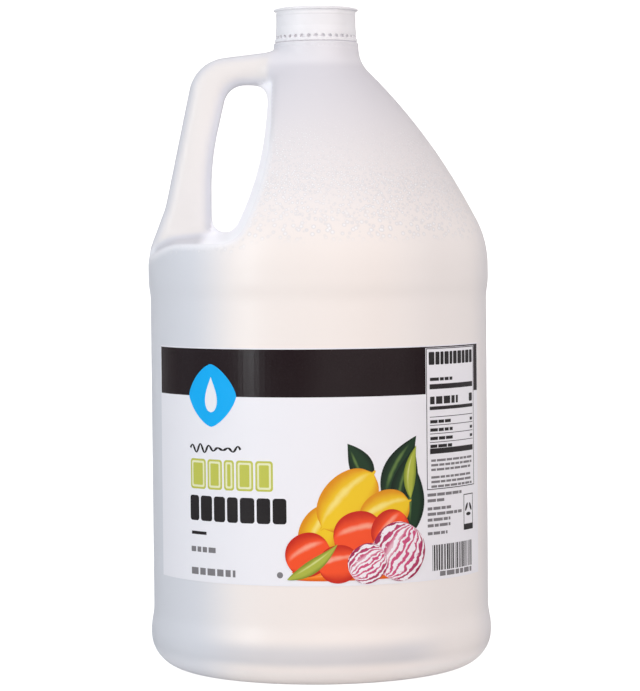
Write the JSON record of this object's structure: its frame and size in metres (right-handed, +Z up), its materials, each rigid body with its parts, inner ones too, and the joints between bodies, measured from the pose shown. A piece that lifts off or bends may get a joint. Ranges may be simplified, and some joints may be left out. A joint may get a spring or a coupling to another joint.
{
  "type": "vinegar bottle",
  "caption": "Round one-gallon jug of natural plastic with a moulded grip, snap cap with tear band, wrap label and clear vinegar up to the shoulder.",
  "frame": {"origin": "middle of the standing ring, on the surface the jug stands on", "axes": "+Z up along the jug's axis; the label faces -Y; the grip is on the -X side"},
  "size_m": [0.1546, 0.1546, 0.2968],
  "materials": {
    "jug_plastic": "milky translucent polyethylene, satin",
    "cap_plastic": "translucent moulded plastic, satin",
    "label_paper": "printed film label, soft gloss",
    "vinegar": "clear liquid"
  },
  "bodies": {
    "root": {"jug": "jug_plastic", "cap": "cap_plastic", "label": "label_paper", "vinegar": "vinegar"}
  },
  "joints": []
}
